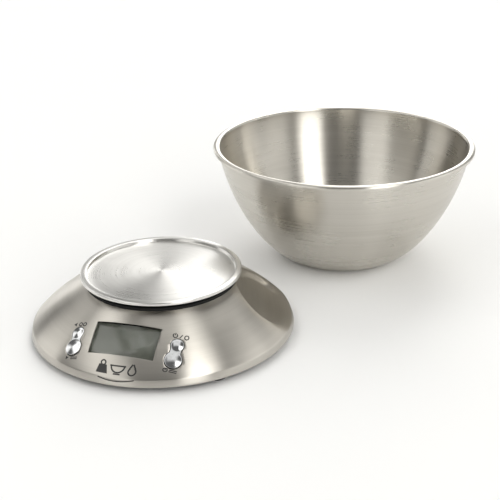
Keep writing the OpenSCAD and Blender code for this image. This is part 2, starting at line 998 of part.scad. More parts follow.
// Chrome rocker with a small domed pad above and a large one below
module rocker(side) {
    dome_h = 0.9;
    top_bevel = 1.1;
    bottom_bevel = 1.3;
    pin_r = 1.3;
    pin_l = 1.2;
    color(CHROME)
        on_table()
            on_rocker(side) {
                translate([0, 0, -rocker_depth])
                    linear_extrude(rocker_depth + rocker_proud - dome_h)
                        rocker_outline(0);
                for (y = [-1, 1])
                    translate([0, y * pad_pitch / 2, -rocker_depth - pin_l])
                        cylinder(h = pin_l + ROOT, r = pin_r, $fn = SMALL);
                translate([-axle_l / 2, 0, -axle_depth])
                    rotate([0, 90, 0])
                        cylinder(h = axle_l, r = axle_r, $fn = SMALL);
                translate([0, pad_pitch / 2, rocker_proud - dome_h])
                    cylinder(h = dome_h, r1 = pad_top_r, r2 = pad_top_r - top_bevel, $fn = 48);
                translate([0, -pad_pitch / 2, rocker_proud - dome_h])
                    cylinder(h = dome_h, r1 = pad_bottom_r, r2 = pad_bottom_r - bottom_bevel, $fn = 48);
            }
}

module left_button() {
    rocker(-1);
}

module right_button() {
    rocker(1);
}

// Spun steel mixing bowl with a flat base and a turned-out rim
module bowl() {
    outer = [for (i = [0:bowl_steps]) let (a = 90 * i / bowl_steps) [bowl_r(a), bowl_z(a)]];
    inner = [
        for (i = [0:bowl_steps])
            let (a = 90 * i / bowl_steps)
            [bowl_r(a) - bowl_t * sin(a), max(bowl_t, bowl_z(a) + bowl_t * cos(a))]
    ];
    color(STEEL)
        on_table()
            translate([bowl_x, bowl_y, 0])
                rotate_extrude($fn = 180)
                    polygon(concat(
                        [[0, 0]],
                        outer,
                        [
                            [bowl_wall_r + 0.6, bowl_h - 1.4], [bowl_rim_r - 1.2, bowl_h - 1.2],
                            [bowl_rim_r - 1.1, bowl_h - 2.8], [bowl_rim_r - 0.1, bowl_h - 2.8],
                            [bowl_rim_r, bowl_h - 1], [bowl_rim_r - 0.7, bowl_h - 0.2],
                            [bowl_rim_r - 1.6, bowl_h], [bowl_wall_r + 0.6, bowl_h - 0.1],
                            [bowl_wall_r - 0.4, bowl_h - 0.8]
                        ],
                        reversed(inner),
                        [[0, bowl_t]]
                    ));
}

top_shell();
collar();
base_pan();
battery_door();
battery_1();
battery_2();
battery_contacts();
battery_wires();
foot_front_left();
foot_front_right();
foot_rear_left();
foot_rear_right();
pan_screws();
rating_label();
load_cell();
gauge_potting();
gauge_cable();
cell_spacer_lower();
cell_screws_lower();
overload_stop_screw();
cell_spacer_upper();
cell_screws_upper();
platform_carrier();
weighing_tray();
window_lens();
lcd_glass();
lcd_contact_strips();
display_frame();
main_board();
control_chip();
key_switches();
board_screws();
rocker_bearings();
left_button();
right_button();
bowl();
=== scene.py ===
import math

import bmesh
import bpy
from mathutils import Matrix, Vector


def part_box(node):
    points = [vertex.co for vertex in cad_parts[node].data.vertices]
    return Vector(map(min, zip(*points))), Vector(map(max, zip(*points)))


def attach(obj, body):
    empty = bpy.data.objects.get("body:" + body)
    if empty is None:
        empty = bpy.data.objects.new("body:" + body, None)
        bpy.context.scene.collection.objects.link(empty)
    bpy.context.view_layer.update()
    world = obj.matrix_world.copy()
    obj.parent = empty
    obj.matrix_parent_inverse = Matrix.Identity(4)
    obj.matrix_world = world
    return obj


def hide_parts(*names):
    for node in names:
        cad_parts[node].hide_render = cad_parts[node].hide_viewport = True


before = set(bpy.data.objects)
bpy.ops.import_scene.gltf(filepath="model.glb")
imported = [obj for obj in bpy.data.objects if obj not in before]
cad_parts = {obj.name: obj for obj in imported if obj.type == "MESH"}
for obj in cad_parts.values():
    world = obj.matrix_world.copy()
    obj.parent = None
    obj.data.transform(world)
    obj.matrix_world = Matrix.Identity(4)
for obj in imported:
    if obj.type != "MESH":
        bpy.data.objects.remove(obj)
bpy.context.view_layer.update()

# ---------------------------------------------------------------------------
# Studio: one camera, a pale floor, and a surround with rows of soft boxes in
# front, overhead and behind. The gaps give brushed steel its dark bands.
# ---------------------------------------------------------------------------
MM = 0.001
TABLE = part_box("foot_front_left")[0][2]
CAMERA_AT = (0.2724, -0.6832, 0.3353)
CAMERA_YAW = 16.5
CAMERA_PITCH = 66.4
CAMERA_ROLL = -1.04
CAMERA_LENS = 76.9
CAMERA_SENSOR = 36

camera_data = bpy.data.cameras.new("camera")
camera_data.lens = CAMERA_LENS
camera_data.sensor_width = CAMERA_SENSOR
camera_data.clip_end = 20
camera = bpy.data.objects.new("camera", camera_data)
camera.matrix_world = (
    Matrix.Translation(CAMERA_AT)
    @ Matrix.Rotation(math.radians(CAMERA_YAW), 4, "Z")
    @ Matrix.Rotation(math.radians(CAMERA_PITCH), 4, "X")
    @ Matrix.Rotation(math.radians(CAMERA_ROLL), 4, "Z")
)
scene = bpy.context.scene
scene.collection.objects.link(camera)
scene.camera = camera
scene.view_settings.view_transform = "Standard"


def node_tools(tree):
    """Return short functions that add and wire nodes in one tree"""
    def add(kind, **values):
        node = tree.nodes.new(kind)
        for key, value in values.items():
            setattr(node, key, value)
        return node

    def put(value, socket):
        if hasattr(value, "is_output"):
            tree.links.new(value, socket)
        elif value is not None:
            socket.default_value = value

    def sum_of(operation, *inputs, clamp=False):
        node = add("ShaderNodeMath", operation=operation, use_clamp=clamp)
        for value, socket in zip(inputs, node.inputs):
            put(value, socket)
        return node.outputs[0]

    def ease(value, low, high, out_low=0.0, out_high=1.0):
        node = add("ShaderNodeMapRange", interpolation_type="SMOOTHSTEP")
        for given, socket in zip((value, low, high, out_low, out_high), node.inputs):
            put(given, socket)
        return node.outputs[0]

    def blend(factor, first, second):
        node = add("ShaderNodeMix", data_type="RGBA")
        put(factor, node.inputs["Factor"])
        put(first, node.inputs["A"])
        put(second, node.inputs["B"])
        return node.outputs["Result"]

    return add, put, sum_of, ease, blend


world = bpy.data.worlds.new("studio")
scene.world = world
world.use_nodes = True
world.node_tree.nodes.clear()
add, put, sum_of, ease, blend = node_tools(world.node_tree)
heading = add("ShaderNodeTexCoord").outputs["Generated"]
yaw = math.radians(CAMERA_YAW)


def along(direction):
    """How far the heading points along one direction"""
    node = add("ShaderNodeVectorMath", operation="DOT_PRODUCT")
    put(heading, node.inputs[0])
    node.inputs[1].default_value = direction
    return node.outputs["Value"]


to_right = along((math.cos(yaw), math.sin(yaw), 0))
to_rear = along((-math.sin(yaw), math.cos(yaw), 0))
to_top = along((0, 0, 1))
# Soft boxes stand side by side in three rows. Each has its left and right edge,
# from -1 at far left to 1 at far right, and its share of the brightest level.
FRONT_BOXES = ((-0.75, -0.38, 0.32), (0.28, 0.6, 0.9), (0.75, 1.2, 0.3))
OVERHEAD_BOXES = ((-0.75, -0.45, 0.45), (-0.25, 0.35, 0.22), (0.75, 1.2, 0.4))
REAR_BOXES = ((-1.2, -0.75, 0.35), (-0.52, -0.32, 0.4), (-0.05, 0.36, 0.8), (0.75, 1.2, 0.3))
BOX_SOFT_EDGE = 0.06
BETWEEN_BOXES = 0.04
BRIGHTEST = 3.8


def row_of_light(boxes):
    """Brightness of one row of soft boxes, as seen from the object"""
    row = BETWEEN_BOXES
    for left, right, level in boxes:
        lit = ease(to_right, left - BOX_SOFT_EDGE, left + BOX_SOFT_EDGE)
        past = ease(to_right, right - BOX_SOFT_EDGE, right + BOX_SOFT_EDGE)
        row = sum_of("MULTIPLY_ADD", sum_of("SUBTRACT", lit, past), level, row)
    return row


# The rows meet at angles up from the rear horizon, over the top and down to the
# front horizon, each with a soft change from one row to the next
REAR_TO_OVERHEAD = (math.radians(58), math.radians(74))
OVERHEAD_TO_FRONT = (math.radians(98), math.radians(114))
round_the_top = sum_of("ARCTAN2", to_top, to_rear)
forward = ease(round_the_top, *OVERHEAD_TO_FRONT)
backward = ease(round_the_top, *REAR_TO_OVERHEAD)
upper = blend(forward, row_of_light(OVERHEAD_BOXES), row_of_light(FRONT_BOXES))
rows = blend(backward, row_of_light(REAR_BOXES), upper)
seen = add("ShaderNodeLightPath").outputs["Is Camera Ray"]
surround = add("ShaderNodeBackground")
put(sum_of("MULTIPLY", rows, BRIGHTEST), surround.inputs["Strength"])
surround.inputs["Color"].default_value = (1.0, 0.995, 0.975, 1)
plain = add("ShaderNodeBackground")
plain.inputs["Color"].default_value = (1, 1, 1, 1)
chooser = add("ShaderNodeMixShader")
put(seen, chooser.inputs[0])
put(surround.outputs[0], chooser.inputs[1])
put(plain.outputs[0], chooser.inputs[2])
put(chooser.outputs[0], add("ShaderNodeOutputWorld").inputs["Surface"])


def material(name):
    """New material: its node functions and its Principled shader"""
    made = bpy.data.materials.new(name)
    made.use_nodes = True
    tools = node_tools(made.node_tree)
    return made, tools, made.node_tree.nodes["Principled BSDF"]


def piece_from(mesh_data, name, finish, smooth=35):
    """Turn a finished bmesh into an object with smooth faces and crisp edges"""
    mesh = bpy.data.meshes.new(name)
    mesh_data.to_mesh(mesh)
    mesh_data.free()
    made = bpy.data.objects.new(name, mesh)
    scene.collection.objects.link(made)
    if finish:
        mesh.materials.append(finish)
    mesh.shade_smooth()
    mesh.set_sharp_from_angle(angle=math.radians(smooth))
    return made


FLOOR_R = 6.0
floor_paint, (add, put, sum_of, ease, blend), paint = material("floor_paint")
paint.inputs["Base Color"].default_value = (0.97, 0.97, 0.965, 1)
paint.inputs["Roughness"].default_value = 0.9
paint.inputs["Specular IOR Level"].default_value = 0.1
bm = bmesh.new()
bmesh.ops.create_circle(bm, cap_ends=True, segments=96, radius=FLOOR_R)
bmesh.ops.translate(bm, verts=bm.verts, vec=(0, 0, TABLE))
floor = piece_from(bm, "floor", floor_paint)

# ---------------------------------------------------------------------------
# Base cone: 0.8 mm stainless sheet, spun over a former, with a plain hem. The
# window, the rocker holes and the finger scoop are pressed and cut after.
# ---------------------------------------------------------------------------
BASE_R = 100.0
HEM_BOTTOM = 4.3
HEM_TOP = 10.2
CONE_FOOT_Z = 9.0
CONE_TOP_R = 50.0
CONE_TOP_Z = 46.0
CONE_BULGE = 4.5
EDGE_Z = 43.6
SKIN = 0.8
FACE_Z = -TABLE / MM
SCOOP_AZ = 17.0
SCOOP_IN = (55.0, 43.0)
SCOOP_OUT = (97.0, 9.4)
SCOOP_SAG = 4.8
SCOOP_CROSS_R = 200.0
SCOOP_WALL = 2.2
SCOOP_WALL_REACH = 3.4
SCOOP_REACH_IN = -30
CREASE_TIGHT = 0.25
CREASE_OUTER = 2.6
CREASE_REAR = 1.2
PANEL_Y = 75.4
PANEL_Z = 26.7
PANEL_TILT = 36.0
WINDOW_W = 48.5
WINDOW_H = 24.8
ROCKER_AT = (37.3, -76.2, 22.8)
ROCKER_TILT = 33.0
ROCKER_LEAN = 15.1
PAD_PITCH = 11.6
PAD_TOP_R = 4.6
PAD_BOTTOM_R = 6.1
WAIST_R = 3.7
ROCKER_GAP = 0.55


def cone_r(height):
    """Radius of the cone's outer face at a height above the table, in mm"""
    t = (height - CONE_FOOT_Z) / (CONE_TOP_Z - CONE_FOOT_Z)
    return BASE_R + (CONE_TOP_R - BASE_R) * t + 4 * CONE_BULGE * t * (1 - t)


def arc(centre, radius, start, end, steps):
    """Points of a round corner in a profile, angles in degrees"""
    return [
        (
            centre[0] + radius * math.cos(math.radians(start + (end - start) * i / steps)),
            centre[1] + radius * math.sin(math.radians(start + (end - start) * i / steps)),
        )
        for i in range(steps + 1)
    ]


def spin_profile(profile, sweeps, up=1):
    """Spin an open profile of (radius, height) in mm; up says which way its faces look"""
    bm = bmesh.new()
    start = sweeps[0][0]
    turn = Matrix.Rotation(math.radians(start), 4, "Z")
    ring = [bm.verts.new(turn @ Vector((r * MM, 0, h * MM + TABLE))) for r, h in profile]
    edge = [bm.edges.new(pair) for pair in zip(ring, ring[1:])]
    last = ring + edge
    for begin, end, steps in sweeps:
        spun = bmesh.ops.spin(
            bm, geom=last, cent=(0, 0, 0), axis=(0, 0, 1), angle=math.radians(end - begin),
            steps=steps, use_merge=False,
        )
        last = spun["geom_last"]
    bmesh.ops.remove_doubles(bm, verts=bm.verts, dist=2e-6)
    bmesh.ops.recalc_face_normals(bm, faces=bm.faces)
    if sum(face.normal.z * face.calc_area() for face in bm.faces) * up < 0:
        bmesh.ops.reverse_faces(bm, faces=bm.faces)
    return bm


def settle(piece, smooth=35):
    """Apply a piece's modifiers to its mesh"""
    graph = bpy.context.evaluated_depsgraph_get()
    mesh = bpy.data.meshes.new_from_object(piece.evaluated_get(graph))
    piece.modifiers.clear()
    piece.data = mesh
    mesh.name = piece.name
    mesh.shade_smooth()
    mesh.set_sharp_from_angle(angle=math.radians(smooth))


def thicken(piece, sheet):
    """Give an open skin its sheet thickness, on the side away from its faces"""
    wall = piece.modifiers.new("sheet", "SOLIDIFY")
    wall.thickness = sheet * MM
    wall.offset = -1
    wall.use_even_offset = True


def ramp(value, low, high):
    """Smooth step from 0 at low to 1 at high"""
    t = max(0.0, min(1.0, (value - low) / (high - low)))
    return t * t * (3 - 2 * t)


def press_scoop(bm):
    """Push the skin down to the scoop's floor, with a soft crease round it"""
    turn = Matrix.Rotation(math.radians(-SCOOP_AZ), 4, "Z")
    back = turn.inverted()
    run = SCOOP_OUT[0] - SCOOP_IN[0]
    drop = SCOOP_IN[1] - SCOOP_OUT[1]
    chord = math.hypot(run, drop)
    slope = math.atan2(drop, run)
    bend = (chord * chord / 4 + SCOOP_SAG * SCOOP_SAG) / (2 * SCOOP_SAG)
    out = Vector((math.cos(slope), 0, -math.sin(slope)))
    inward = Vector((-math.sin(slope), 0, -math.cos(slope)))
    middle = Vector(((SCOOP_IN[0] + SCOOP_OUT[0]) / 2, 0, (SCOOP_IN[1] + SCOOP_OUT[1]) / 2))
    for vert in bm.verts:
        spot = (turn @ vert.co) / MM - Vector((0, 0, TABLE / MM)) - middle
        place = spot.dot(out)
        if spot.x < SCOOP_REACH_IN or abs(place) > bend * 0.6:
            continue
        depth = spot.dot(inward) + SCOOP_CROSS_R
        reach = math.hypot(depth, spot.y)
        floor_reach = SCOOP_CROSS_R + SCOOP_SAG - bend + math.sqrt(bend * bend - place * place)
        over = floor_reach - reach
        soft = CREASE_TIGHT + CREASE_OUTER * ramp(place, 0, 24) + CREASE_REAR * ramp(spot.y, 0, 14)
        if over <= -soft:
            continue
        push = over if over >= soft else (over + soft) ** 2 / (4 * soft)
        push += SCOOP_WALL * ramp(over, 0, SCOOP_WALL_REACH) * (1 - ramp(place, 6, 25))
        away = (inward * depth + Vector((0, spot.y, 0))) / reach
        vert.co += (back @ away) * push * MM


def on_panel():
    """Matrix of the display panel: x across, y up the slope, z out, in mm"""
    return (
        Matrix.Translation((0, 0, TABLE)) @ Matrix.Scale(MM, 4)
        @ Matrix.Translation((0, -PANEL_Y, PANEL_Z))
        @ Matrix.Rotation(math.radians(PANEL_TILT), 4, "X")
    )


def on_rocker(side):
    """Matrix of a rocker's waist, left (-1) or right (1), in mm"""
    return (
        Matrix.Translation((0, 0, TABLE)) @ Matrix.Scale(MM, 4)
        @ Matrix.Translation((side * ROCKER_AT[0], ROCKER_AT[1], ROCKER_AT[2]))
        @ Matrix.Rotation(math.radians(ROCKER_TILT), 4, "X")
        @ Matrix.Rotation(math.radians(side * ROCKER_LEAN), 4, "Y")
    )


def rocker_half_width(y, gap=0.0):
    """Half the width of the figure-of-eight outline at a place along it"""
    widest = 0.0
    for centre, radius in ((PAD_PITCH / 2, PAD_TOP_R), (-PAD_PITCH / 2, PAD_BOTTOM_R)):
        inside = (radius + gap) ** 2 - (y - centre) ** 2
        if inside > 0:
            widest = max(widest, math.sqrt(inside))
    if abs(y) >= PAD_PITCH / 2:
        return widest
    neck = WAIST_R + gap
    soft = 0.8
    near = max(0.0, soft - abs(widest - neck)) / soft
    return max(widest, neck) + near * near * soft / 4


def rocker_outline(gap, steps=72):
    """Outline of a rocker as points, anticlockwise from its lower end"""
    low = -PAD_PITCH / 2 - PAD_BOTTOM_R - gap
    high = PAD_PITCH / 2 + PAD_TOP_R + gap
    rows = [
        (low + high) / 2 - (high - low) / 2 * math.cos(math.pi * i / steps)
        for i in range(1, steps)
    ]
    right = [(rocker_half_width(y, gap), y) for y in rows]
    left = [(-x, y) for x, y in reversed(right)]
    return [(0, low)] + right + [(0, high)] + left


HEM_ROUND = 0.9
SKIN_START = HEM_TOP + 0.2
SKIN_ROWS = 86
profile = (
    [(96.0, HEM_BOTTOM), (97.5, HEM_BOTTOM)]
    + arc((BASE_R - HEM_ROUND, HEM_BOTTOM + HEM_ROUND), HEM_ROUND, -90, 0, 5)
    + [(BASE_R - 0.28, 6.6), (BASE_R - 0.6, 8.2), (BASE_R - 0.86, 9.4), (BASE_R - 0.97, 9.85)]
    + [(BASE_R - 1.06, 10.12)]
    + [
        (cone_r(SKIN_START + (EDGE_Z - SKIN_START) * i / SKIN_ROWS),
         SKIN_START + (EDGE_Z - SKIN_START) * i / SKIN_ROWS)
        for i in range(SKIN_ROWS + 1)
    ]
)
# The stretch that holds the scoop has finer steps round the cone
bm = spin_profile(profile, ((-22, 56, 195), (56, 338, 141)))
press_scoop(bm)
cone = piece_from(bm, "base_cone", None)
thicken(cone, SKIN)

# The cutter holds the window and both rocker holes
bm = bmesh.new()
bmesh.ops.create_cube(bm, size=1)
bmesh.ops.scale(bm, vec=(WINDOW_W, WINDOW_H, 12), verts=bm.verts)
bmesh.ops.translate(bm, vec=(0, 0, 2), verts=bm.verts)
upright = [e for e in bm.edges if abs((e.verts[0].co - e.verts[1].co).z) > 6]
bmesh.ops.bevel(
    bm, geom=upright, offset=0.5, offset_type="OFFSET", segments=4, profile=0.5,
    affect="EDGES", material=-1,
)
bmesh.ops.transform(bm, matrix=on_panel(), verts=bm.verts)
for side in (-1, 1):
    loop = [bm.verts.new((x, y, -6)) for x, y in rocker_outline(ROCKER_GAP)]
    base = bm.faces.new(loop)
    grown = bmesh.ops.extrude_face_region(bm, geom=[base])["geom"]
    tops = [g for g in grown if isinstance(g, bmesh.types.BMVert)]
    bmesh.ops.translate(bm, vec=(0, 0, 12), verts=tops)
    bmesh.ops.transform(bm, matrix=on_rocker(side), verts=loop + tops)
bmesh.ops.recalc_face_normals(bm, faces=bm.faces)
cutter = piece_from(bm, "hole_cutter", None)
holes = cone.modifiers.new("holes", "BOOLEAN")
holes.object = cutter
holes.operation = "DIFFERENCE"
holes.solver = "EXACT"
settle(cone)
bpy.data.objects.remove(cutter)
edges = cone.modifiers.new("burr", "BEVEL")
edges.width = 0.1 * MM
edges.segments = 2
edges.limit_method = "ANGLE"
edges.angle_limit = math.radians(60)
edges.use_clamp_overlap = True
settle(cone)


def group(name, inputs, outputs):
    """New shader node group with named sockets"""
    made = bpy.data.node_groups.new(name, "ShaderNodeTree")
    for label, kind, value in inputs:
        socket = made.interface.new_socket(label, in_out="INPUT", socket_type=kind)
        if value is not None:
            socket.default_value = value
    for label, kind in outputs:
        made.interface.new_socket(label, in_out="OUTPUT", socket_type=kind)
    tools = node_tools(made)
    source = tools[0]("NodeGroupInput")
    sink = tools[0]("NodeGroupOutput")
    return made, tools, source.outputs, sink.inputs


def place_group(add, put, made, **values):
    """Put a shader node group in a tree and set its inputs"""
    node = add("ShaderNodeGroup")
    node.node_tree = made
    for label, value in values.items():
        put(value, node.inputs[label.replace("_", " ")])
    return node.outputs


# Spun steel has lines round its axis: fine ones from the abrasive, wider ones from the roller
spun_lines, (add, put, sum_of, ease, blend), given, result = group(
    "spun_lines",
    (
        ("Place", "NodeSocketVector", None), ("Across", "NodeSocketFloat", 1.0),
        ("Up", "NodeSocketFloat", 1.0), ("Pitch", "NodeSocketFloat", 0.0006),
        ("Sweep", "NodeSocketFloat", 2.0),
    ),
    (("Fine", "NodeSocketFloat"), ("Rings", "NodeSocketFloat"), ("Streaks", "NodeSocketFloat")),
)
apart = add("ShaderNodeSeparateXYZ")
put(given["Place"], apart.inputs[0])
x, y, z = apart.outputs
radius = sum_of("SQRT", sum_of("MULTIPLY_ADD", x, x, sum_of("MULTIPLY", y, y)))
safe = sum_of("MAXIMUM", radius, 0.0005)
run = sum_of(
    "MULTIPLY_ADD", radius, given["Across"], sum_of("MULTIPLY", z, given["Up"]),
)
turn_x = sum_of("MULTIPLY", sum_of("DIVIDE", x, safe), given["Sweep"])
turn_y = sum_of("MULTIPLY", sum_of("DIVIDE", y, safe), given["Sweep"])
for label, finer, detail in (("Fine", 1.0, 1.0), ("Rings", 0.15, 0.5)):
    lines = add("ShaderNodeCombineXYZ")
    put(turn_x, lines.inputs[0])
    put(turn_y, lines.inputs[1])
    put(sum_of("MULTIPLY", sum_of("DIVIDE", run, given["Pitch"]), finer), lines.inputs[2])
    noise = add("ShaderNodeTexNoise")
    put(lines.outputs[0], noise.inputs["Vector"])
    noise.inputs["Scale"].default_value = 1.0
    noise.inputs["Detail"].default_value = detail
    noise.inputs["Roughness"].default_value = 0.6
    put(noise.outputs["Fac"], result[label])
fan = add("ShaderNodeCombineXYZ")
put(sum_of("MULTIPLY", turn_x, 5.0), fan.inputs[0])
put(sum_of("MULTIPLY", turn_y, 5.0), fan.inputs[1])
put(sum_of("MULTIPLY", run, 6.0), fan.inputs[2])
sweeps = add("ShaderNodeTexNoise")
put(fan.outputs[0], sweeps.inputs["Vector"])
sweeps.inputs["Scale"].default_value = 1.0
sweeps.inputs["Detail"].default_value = 2.0
put(sweeps.outputs["Fac"], result["Streaks"])

# Handling marks: faint cloudy patches that dull a polished face a little
handling, (add, put, sum_of, ease, blend), given, result = group(
    "handling",
    (("Place", "NodeSocketVector", None), ("Size", "NodeSocketFloat", 0.03)),
    (("Smudge", "NodeSocketFloat"),),
)
closer = add("ShaderNodeVectorMath", operation="SCALE")
put(given["Place"], closer.inputs[0])
put(sum_of("DIVIDE", 1.0, given["Size"]), closer.inputs["Scale"])
cloud = add("ShaderNodeTexNoise")
put(closer.outputs[0], cloud.inputs["Vector"])
cloud.inputs["Scale"].default_value = 1.0
cloud.inputs["Detail"].default_value = 4.0
cloud.inputs["Roughness"].default_value = 0.55
put(ease(cloud.outputs["Fac"], 0.35, 0.7), result["Smudge"])


def spun_steel(
    name, colours, rough, grain, across=1.0, up=1.0, pitch=0.0006, centre=(0, 0), dent=0.02,
):
    """Spun, brushed stainless steel; colours and rough are (low, high)"""
    made, (add, put, sum_of, ease, blend), steel = material(name)
    place = add("ShaderNodeMapping")
    put(add("ShaderNodeTexCoord").outputs["Object"], place.inputs["Vector"])
    place.inputs["Location"].default_value = (-centre[0], -centre[1], 0)
    lines = place_group(
        add, put, spun_lines,
        Place=place.outputs[0], Across=across, Up=up, Pitch=pitch, Sweep=0.6,
    )
    marks = place_group(add, put, handling, Place=place.outputs[0], Size=0.035)
    tone = sum_of(
        "MULTIPLY_ADD", lines["Rings"], 0.40,
        sum_of("MULTIPLY_ADD", lines["Fine"], 0.5, sum_of("MULTIPLY", lines["Streaks"], 0.10)),
    )
    tone = ease(tone, 0.25, 0.75)
    put(blend(tone, (*colours[0], 1), (*colours[1], 1)), steel.inputs["Base Color"])
    sheen = sum_of("MULTIPLY_ADD", marks["Smudge"], 0.35, sum_of("MULTIPLY", lines["Fine"], 0.65))
    put(ease(sheen, 0.2, 0.8, rough[0], rough[1]), steel.inputs["Roughness"])
    steel.inputs["Metallic"].default_value = 1
    steel.inputs["Anisotropic"].default_value = grain
    steel.inputs["Anisotropic Rotation"].default_value = 0.25
    tangent = add("ShaderNodeTangent", direction_type="RADIAL", axis="Z")
    put(tangent.outputs[0], steel.inputs["Tangent"])
    relief = sum_of("MULTIPLY_ADD", lines["Rings"], 1.5, lines["Fine"])
    bump = add("ShaderNodeBump")
    bump.inputs["Strength"].default_value = dent
    bump.inputs["Distance"].default_value = 0.00006
    put(relief, bump.inputs["Height"])
    put(bump.outputs[0], steel.inputs["Normal"])
    return made


shell_steel = spun_steel(
    "spun_shell_steel", ((0.50, 0.476, 0.432), (0.54, 0.515, 0.47)), (0.28, 0.32), 0.92,
    across=0.8, up=-0.6, pitch=0.0004,
)
cone.data.materials.append(shell_steel)
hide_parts("top_shell")
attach(cone, "base")

# ---------------------------------------------------------------------------
# Weighing tray: 0.6 mm stainless sheet, pressed with a flat floor, a low steep
# wall and a flat-topped rim turned down outside, then spin-brushed.
# ---------------------------------------------------------------------------
TRAY_R = 60.7
TRAY_FLOOR_R = 54.9
TRAY_SHEET = 0.6
RIM_TOP = FACE_Z + 2.4
tray_profile = (
    [(r, FACE_Z) for r in (0, 0.6, 10, 20, 30, 40, 50)]
    + arc((TRAY_FLOOR_R + 0.4, FACE_Z + 0.35), 0.35, -90, -6, 4)
    + arc((TRAY_FLOOR_R + 1.4, RIM_TOP - 0.6), 0.5, 174, 100, 5)
    + [(TRAY_FLOOR_R + 2.2, RIM_TOP - 0.03), (TRAY_FLOOR_R + 3.2, RIM_TOP)]
    + [(TRAY_FLOOR_R + 4.2, RIM_TOP - 0.06)]
    + arc((TRAY_R - 0.9, RIM_TOP - 1.0), 0.9, 74, 0, 7)
    + [(TRAY_R, FACE_Z + 0.7), (TRAY_R, FACE_Z + 0.3), (TRAY_R, FACE_Z + 0.1)]
)
bm = spin_profile(tray_profile, ((0, 360, 256),))
tray = piece_from(bm, "weighing_pan", None)
thicken(tray, TRAY_SHEET)
settle(tray)
tray_steel = spun_steel(
    "spun_tray_steel", ((0.69, 0.68, 0.655), (0.75, 0.74, 0.715)), (0.27, 0.33), 0.78,
    across=1.0, up=0.0, pitch=0.0005,
)
tray.data.materials.append(tray_steel)
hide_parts("weighing_tray")
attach(tray, "tray")

# ---------------------------------------------------------------------------
# Mixing bowl: 1 mm stainless sheet, deep-drawn and spun, with a flat base and
# a rim turned out and down so that it is stiff and blunt.
# ---------------------------------------------------------------------------
BOWL_AT = (102.0, 179.0)
BOWL_BASE_R = 43.0
BOWL_WALL_R = 106.8
BOWL_CURVE_H = 97.2
BOWL_RIM_R = 111.3
BOWL_H = 99.8
BOWL_SHEET = 1.0


def bowl_wall(angle):
    """Outer face of the bowl from its base (0) to its rim (90)"""
    a = math.radians(angle)
    reach = BOWL_BASE_R + (BOWL_WALL_R - BOWL_BASE_R) * math.sin(a) ** 1.18
    return reach, BOWL_CURVE_H * (1 - max(0.0, math.cos(a)) ** 1.43)


# The inner face lies one sheet inside the outer one, square to it
WALL_STEPS = 60
WALL_END = 88.5
NEARBY = 0.6
inner_wall = []
for i in range(1, WALL_STEPS + 1):
    here = WALL_END * i / WALL_STEPS
    r0, z0 = bowl_wall(here - NEARBY)
    r1, z1 = bowl_wall(here + NEARBY)
    step = math.hypot(r1 - r0, z1 - z0)
    reach, height = bowl_wall(here)
    inner_wall.append(
        (reach - BOWL_SHEET * (z1 - z0) / step, height + BOWL_SHEET * (r1 - r0) / step)
    )
top_r, top_h = inner_wall[-1]
lip = 1.9
ROLL_STEPS = 18
bowl_profile = (
    [(r, BOWL_SHEET) for r in (0, 12, 24, 34, 40)]
    + inner_wall
    + [(top_r + 0.02, BOWL_H - lip - 0.2)]
    + [
        (
            (top_r + BOWL_RIM_R) / 2
            - (BOWL_RIM_R - top_r) / 2 * math.cos(math.pi * i / ROLL_STEPS),
            BOWL_H - lip + lip * math.sin(math.pi * i / ROLL_STEPS),
        )
        for i in range(1, ROLL_STEPS)
    ]
    + [(BOWL_RIM_R, BOWL_H - 2.0), (BOWL_RIM_R - 0.05, BOWL_H - 2.8)]
)
bm = spin_profile(bowl_profile, ((0, 360, 288),))
bmesh.ops.translate(bm, vec=(BOWL_AT[0] * MM, BOWL_AT[1] * MM, 0), verts=bm.verts)
bowl = piece_from(bm, "mixing_bowl", None)
thicken(bowl, BOWL_SHEET)
settle(bowl)
bowl_steel = spun_steel(
    "spun_bowl_steel", ((0.565, 0.54, 0.49), (0.62, 0.595, 0.545)), (0.27, 0.31), 0.92,
    across=0.7, up=0.7, pitch=0.0008, centre=(BOWL_AT[0] * MM, BOWL_AT[1] * MM),
)
bowl.data.materials.append(bowl_steel)
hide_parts("bowl")
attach(bowl, "bowl")

# ---------------------------------------------------------------------------
# Rockers: chrome-plated plastic, one moulding each, a small domed pad above
# and a large one below, which stand a little proud of the cone.
# ---------------------------------------------------------------------------
ROCKER_DEPTH = 3.2
ROCKER_EDGE = 0.55
ROCKER_DOMES = ((PAD_PITCH / 2, PAD_TOP_R, 0.85), (-PAD_PITCH / 2, PAD_BOTTOM_R, 0.95))


def rocker_top(x, y):
    """Height of a rocker's face: two domes joined by a low saddle"""
    rise = 0.0
    for centre, radius, dome in ROCKER_DOMES:
        off = (x * x + (y - centre) ** 2) / (radius * radius)
        rise += (dome * max(0.0, 1 - off)) ** 2
    return ROCKER_EDGE + math.sqrt(rise + 0.03) - 0.17


rocker_chrome, (add, put, sum_of, ease, blend), chrome = material("rocker_chrome")
place = add("ShaderNodeTexCoord").outputs["Object"]
marks = place_group(add, put, handling, Place=place, Size=0.004)
bright_chrome = (0.68, 0.69, 0.70, 1)
dull_chrome = (0.60, 0.605, 0.61, 1)
put(blend(marks["Smudge"], bright_chrome, dull_chrome), chrome.inputs["Base Color"])
put(ease(marks["Smudge"], 0, 1, 0.09, 0.15), chrome.inputs["Roughness"])
chrome.inputs["Metallic"].default_value = 1

